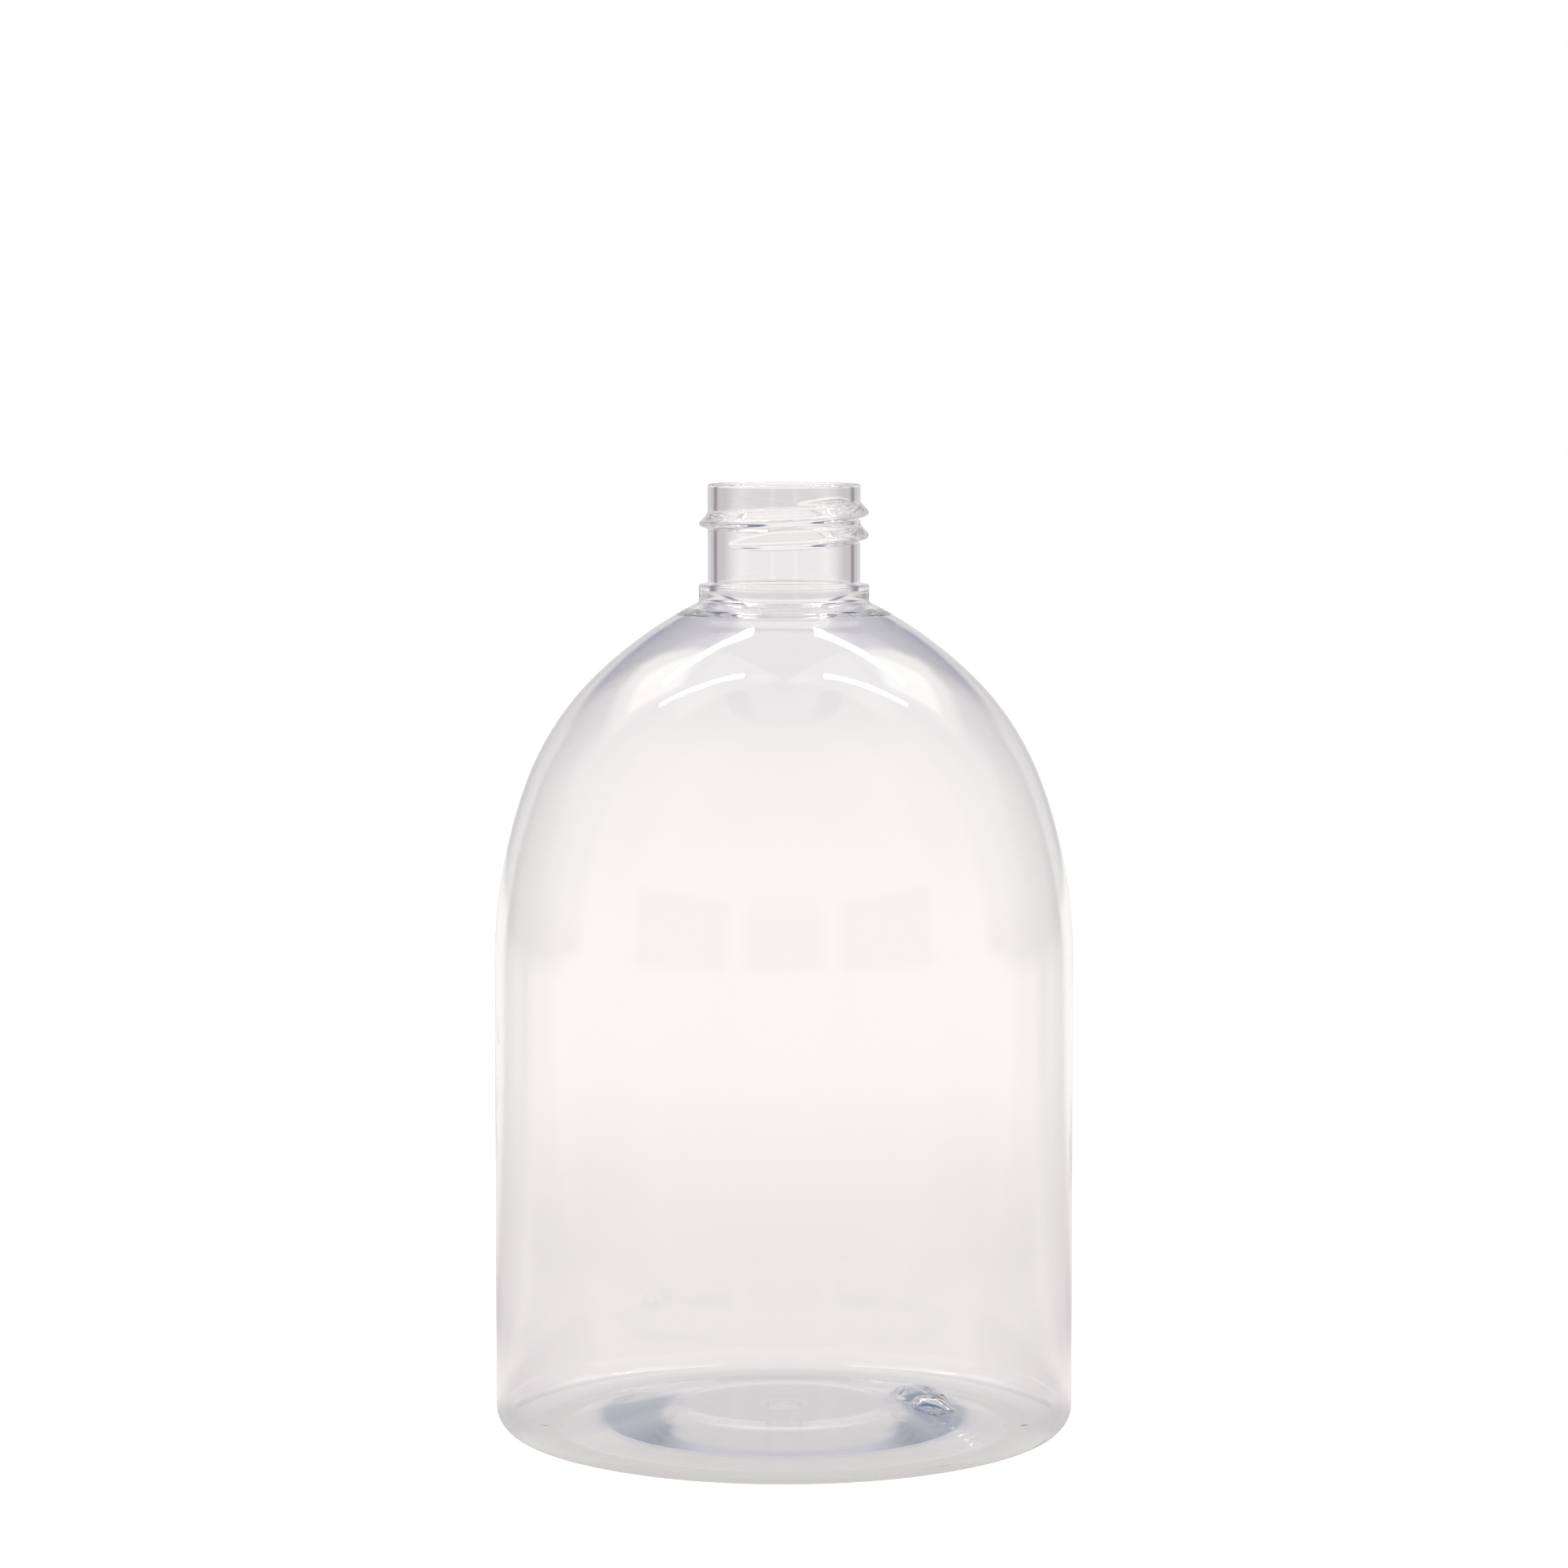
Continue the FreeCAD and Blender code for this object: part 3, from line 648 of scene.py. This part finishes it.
class Finish:
    """The nodes of one material, or of the room."""

    def __init__(self, tree):
        self.tree = tree
        tree.nodes.clear()

    def node(self, kind, settings=None, inputs=None):
        node = self.tree.nodes.new(kind)
        for key, value in (settings or {}).items():
            setattr(node, key, value)
        for key, value in (inputs or {}).items():
            if isinstance(value, Value):
                value = value.socket
            if isinstance(value, bpy.types.NodeSocket):
                self.tree.links.new(value, node.inputs[key])
            else:
                node.inputs[key].default_value = value
        return node

    def value(self, kind, settings=None, inputs=None, output=0):
        return Value(self, self.node(kind, settings, inputs).outputs[output])


def new_material(name):
    material = bpy.data.materials.new(name)
    material.use_nodes = True
    return material, Finish(material.node_tree)


def clear_plastic():
    """Blown clear plastic: glossy and faintly uneven."""
    material, finish = new_material("clear_blown_plastic")
    place = finish.node("ShaderNodeTexCoord").outputs["Object"]
    waves = finish.value("ShaderNodeTexNoise", {}, {
        "Vector": place, "Scale": WAVE_SCALE, "Detail": 1.0})
    grain = finish.value("ShaderNodeTexNoise", {}, {
        "Vector": place, "Scale": GRAIN_SCALE, "Detail": 2.0})
    relief = waves * WAVE_SHARE + grain * (1 - WAVE_SHARE)
    bump = finish.node("ShaderNodeBump", {}, {
        "Strength": RELIEF_STRENGTH, "Distance": RELIEF_DISTANCE, "Height": relief})
    shader = finish.node("ShaderNodeBsdfPrincipled", {}, {
        "Base Color": PLASTIC_COLOUR,
        "Roughness": PLASTIC_ROUGHNESS + grain * GRAIN_ROUGHNESS,
        "IOR": PLASTIC_INDEX,
        "Transmission Weight": 1.0,
        "Normal": bump.outputs[0],
    })
    finish.node("ShaderNodeOutputMaterial", {}, {"Surface": shader.outputs[0]})
    return material


def mixed(finish, first, second, share):
    """A colour part of the way from one to another. Each may be constant or a link."""
    node = finish.node("ShaderNodeMix", {"data_type": "RGBA"}, {0: share, 6: first, 7: second})
    return node.outputs[2]


def within(value, start, end, softness):
    """1 between two limits, with soft edges."""
    begun = value.ramp(start - softness, start + softness)
    ended = value.ramp(end - softness, end + softness)
    return begun * (1 - ended)


def overhead_light(finish, aside, rise):
    """The studio behind and above the bottle: top light, gap, side panels and soft boxes."""
    top = mixed(finish, TOP_LIGHT_COLOUR, TOP_FADE_COLOUR, rise.ramp(*TOP_FADE_RISE))
    gap = aside.ramp(*GAP_ASIDE) * (1 - rise.ramp(*GAP_END_RISE))
    top = mixed(finish, top, GAP_COLOUR, gap)
    side = mixed(finish, EDGE_COLOUR, ROOM_COLOUR, aside.ramp(*SIDE_ROOM_ASIDE))
    panel = rise.ramp(*SIDE_PANEL_RISE) * (1 - aside.ramp(*SIDE_PANEL_END_ASIDE))
    side = mixed(finish, side, SIDE_PANEL_COLOUR, panel)
    side = mixed(finish, side, SIDE_PANEL_COLOUR, rise.ramp(*SIDE_CEILING_RISE))
    soft_box = within(aside, *SOFT_BOX_ASIDE) * within(rise, *SOFT_BOX_RISE)
    side = mixed(finish, side, SOFT_BOX_COLOUR, soft_box)
    return mixed(finish, top, side, (aside - rise * TOP_EDGE_LEAN).ramp(*TOP_EDGE_ASIDE))


def studio_light(finish, direction, height):
    """Light of the studio from a direction. height is 0 low on the backdrop and 1 above."""
    parts = finish.node("ShaderNodeSeparateXYZ", {}, {"Vector": direction})
    x, y, z = (Value(finish, parts.outputs[axis]) for axis in "XYZ")
    aside = abs(x).math("ARCTAN2", y) * (180 / math.pi)
    level = x * x + y * y
    rise = z.math("ARCTAN2", level.math("SQRT")) * (180 / math.pi)
    colour = mixed(finish, BACKDROP_COLOUR, UPPER_BACKDROP_COLOUR, height)
    colour = mixed(finish, colour, BACKDROP_SIDE_COLOUR, aside.ramp(*BACKDROP_SIDE_ASIDE))
    colour = mixed(finish, colour, EDGE_COLOUR, aside.ramp(*EDGE_ASIDE))
    colour = mixed(finish, colour, WALL_COLOUR, aside.ramp(*WALL_ASIDE))
    colour = mixed(finish, colour, ROOM_COLOUR, aside.ramp(*ROOM_ASIDE) * rise.ramp(*ROOM_RISE))
    colour = mixed(finish, colour, overhead_light(finish, aside, rise), rise.ramp(*OVERHEAD_RISE))
    window = within(aside, *WINDOW_ASIDE) * within(rise, *WINDOW_RISE)
    front = mixed(finish, FRONT_PANEL_COLOUR, FRONT_WINDOW_COLOUR, window)
    ceiling = rise.ramp(*LOW_CEILING_RISE) * LOW_CEILING_SHARE
    ceiling = ceiling + rise.ramp(*HIGH_CEILING_RISE) * (1 - LOW_CEILING_SHARE)
    front = mixed(finish, front, FRONT_CEILING_COLOUR, ceiling)
    colour = mixed(finish, colour, front, aside.ramp(*FRONT_ASIDE))
    camera_side = aside.ramp(*CAMERA_SIDE_ASIDE) * (1 - rise.ramp(*CAMERA_SIDE_END_RISE))
    return mixed(finish, colour, CAMERA_SIDE_COLOUR, camera_side)


def light_room():
    """White to the camera. The plastic sees a studio in it."""
    world = bpy.data.worlds.new("studio")
    world.use_nodes = True
    world.cycles.sampling_method = "NONE"
    bpy.context.scene.world = world
    finish = Finish(world.node_tree)
    direction = finish.node("ShaderNodeTexCoord").outputs["Generated"]
    seen = finish.value("ShaderNodeLightPath", output="Is Camera Ray")
    colour = mixed(finish, studio_light(finish, direction, 1.0), WHITE, seen)
    light = finish.node("ShaderNodeBackground", {}, {"Color": colour, "Strength": 1.0})
    finish.node("ShaderNodeOutputWorld", {}, {"Surface": light.outputs[0]})


def strip_lights():
    """Two pairs of long overhead lights with a gap in the middle, for the shoulder to mirror."""
    for row, aside, forward, length, width, swing in STRIPS:
        for side_name, side in (("left", -1), ("right", 1)):
            lamp = bpy.data.lights.new("%s_strip_%s" % (row, side_name), "AREA")
            lamp.shape = "RECTANGLE"
            lamp.size = length * STRIP_HEIGHT
            lamp.size_y = width * STRIP_HEIGHT
            lamp.energy = STRIP_POWER * math.pi * lamp.size * lamp.size_y
            strip = bpy.data.objects.new(lamp.name, lamp)
            strip.location = (side * aside * STRIP_HEIGHT, forward * STRIP_HEIGHT, STRIP_HEIGHT)
            strip.rotation_euler = (0, 0, side * math.radians(swing))
            bpy.context.scene.collection.objects.link(strip)


def floor_shades(finish, across, along, reach, place):
    """The floor round the bottle: painted shade near it and at its sides, and the studio's light
    painted on it far off.
    """
    aside = abs(across).math("ARCTAN2", along) * (180 / math.pi)
    near = mixed(finish, NEAR_FLOOR_SHADE_COLOUR, NEAR_SIDE_SHADE_COLOUR, within(aside, *NEAR_SIDE_ASIDE))
    side_shade = within(aside, *SIDE_SHADE_ASIDE) * reach.ramp(*SIDE_SHADE_REACH)
    near = mixed(finish, near, SIDE_FLOOR_SHADE_COLOUR, side_shade)
    front_shade = aside.ramp(*FRONT_SHADE_ASIDE) * (1 - reach.ramp(*FRONT_SHADE_REACH))
    near = mixed(finish, near, FRONT_SHADE_COLOUR, front_shade)
    far = mixed(finish, FLOOR_COLOUR, FRONT_FLOOR_COLOUR, aside.ramp(*FRONT_FLOOR_ASIDE))
    far = mixed(finish, far, SIDE_FLOOR_SHADE_COLOUR, within(aside, *FAR_SIDE_ASIDE))
    late = reach.ramp(*FADE_REACH)
    early = reach.ramp(*EARLY_REACH) - late
    studio = studio_light(finish, place, reach.ramp(*WORLD_REACH))
    far = mixed(finish, far, studio, late + early * within(aside, *EARLY_ASIDE))
    return mixed(finish, near, far, reach.ramp(*NEAR_REACH))


def shades_under(finish, across, along):
    """Painted shade on the floor under the bottle: a blue-grey patch at either side, joined in
    front.
    """
    behind = along - UNDER_CENTRE
    ring = (across * across + behind * behind).math("SQRT")
    turned = abs(across).math("ARCTAN2", behind * -1) * (180 / math.pi)
    front = within(ring, *UNDER_FRONT_RING) * (1 - turned.ramp(*UNDER_FRONT_TURN))
    under = mixed(finish, UNDER_SHADE_COLOUR, UNDER_FRONT_SHADE_COLOUR, front)
    outer = ring.ramp(*UNDER_OUTER_RING) * (1 - turned.ramp(*UNDER_OUTER_TURN))
    under = mixed(finish, under, UNDER_RING_SHADE_COLOUR, outer)
    side = within(ring, *UNDER_SIDE_RING) * abs(across).ramp(*UNDER_SIDE_ACROSS)
    side = side * (1 - turned.ramp(*UNDER_SIDE_TURN))
    return mixed(finish, under, UNDER_SIDE_SHADE_COLOUR, side)


def pale_floor():
    """Plain white floor to the camera. To the plastic it glows with painted shades and the studio's
    painted light.
    """
    mesh = bpy.data.meshes.new("pale_floor")
    corners = [(x * FLOOR_HALF, y * FLOOR_HALF, 0) for x, y in ((-1, -1), (1, -1), (1, 1), (-1, 1))]
    mesh.from_pydata(corners, [], [(0, 1, 2, 3)])
    floor = bpy.data.objects.new("pale_floor", mesh)
    bpy.context.scene.collection.objects.link(floor)
    material, finish = new_material("pale_floor")
    place = finish.node("ShaderNodeTexCoord").outputs["Object"]
    seen = finish.value("ShaderNodeLightPath", output="Is Camera Ray")
    reach = finish.value("ShaderNodeVectorMath", {"operation": "LENGTH"}, {0: place}, "Value")
    parts = finish.node("ShaderNodeSeparateXYZ", {}, {"Vector": place})
    across, along = (Value(finish, parts.outputs[axis]) for axis in "XY")
    colour = mixed(finish, shades_under(finish, across, along),
                   floor_shades(finish, across, along, reach, place), reach.ramp(*UNDER_REACH))
    colour = mixed(finish, colour, FLOOR_GLOW, seen)
    glow = finish.node("ShaderNodeEmission", {}, {"Color": colour, "Strength": 1.0})
    matte = finish.node("ShaderNodeBsdfDiffuse", {}, {"Color": FLOOR_PAINT})
    both = finish.node("ShaderNodeAddShader", {}, {0: glow.outputs[0], 1: matte.outputs[0]})
    surface = finish.node("ShaderNodeMixShader", {}, {
        0: seen, 1: glow.outputs[0], 2: both.outputs[0]})
    finish.node("ShaderNodeOutputMaterial", {}, {"Surface": surface.outputs[0]})
    material.cycles.emission_sampling = "NONE"
    mesh.materials.append(material)


def place_camera():
    """At the height and distance that the photograph was taken from, tilted down 5 degrees."""
    camera_data = bpy.data.cameras.new("camera")
    camera = bpy.data.objects.new("camera", camera_data)
    bpy.context.scene.collection.objects.link(camera)
    camera.location = (0, -CAMERA_DISTANCE, CAMERA_HEIGHT)
    fall = CAMERA_HEIGHT - TARGET_HEIGHT
    camera.rotation_euler = (math.pi / 2 - math.atan2(fall, CAMERA_DISTANCE), 0, 0)
    camera_data.sensor_width = SENSOR_WIDTH
    camera_data.lens = SENSOR_WIDTH * math.hypot(CAMERA_DISTANCE, fall) / PHOTO_WIDTH
    camera_data.clip_start = NEAREST_SEEN
    bpy.context.scene.camera = camera


def make_bottle():
    bottle = bpy.data.objects.new("clear_bottle", bottle_mesh())
    bpy.context.scene.collection.objects.link(bottle)
    bottle.data.materials.append(clear_plastic())
    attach(bottle, "root")
    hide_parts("bottle")


make_bottle()
pale_floor()
light_room()
strip_lights()
place_camera()

scene = bpy.context.scene
scene.view_settings.view_transform = "Standard"
scene.cycles.max_bounces = LIGHT_BOUNCES
scene.cycles.transmission_bounces = LIGHT_BOUNCES
scene.cycles.glossy_bounces = LIGHT_BOUNCES
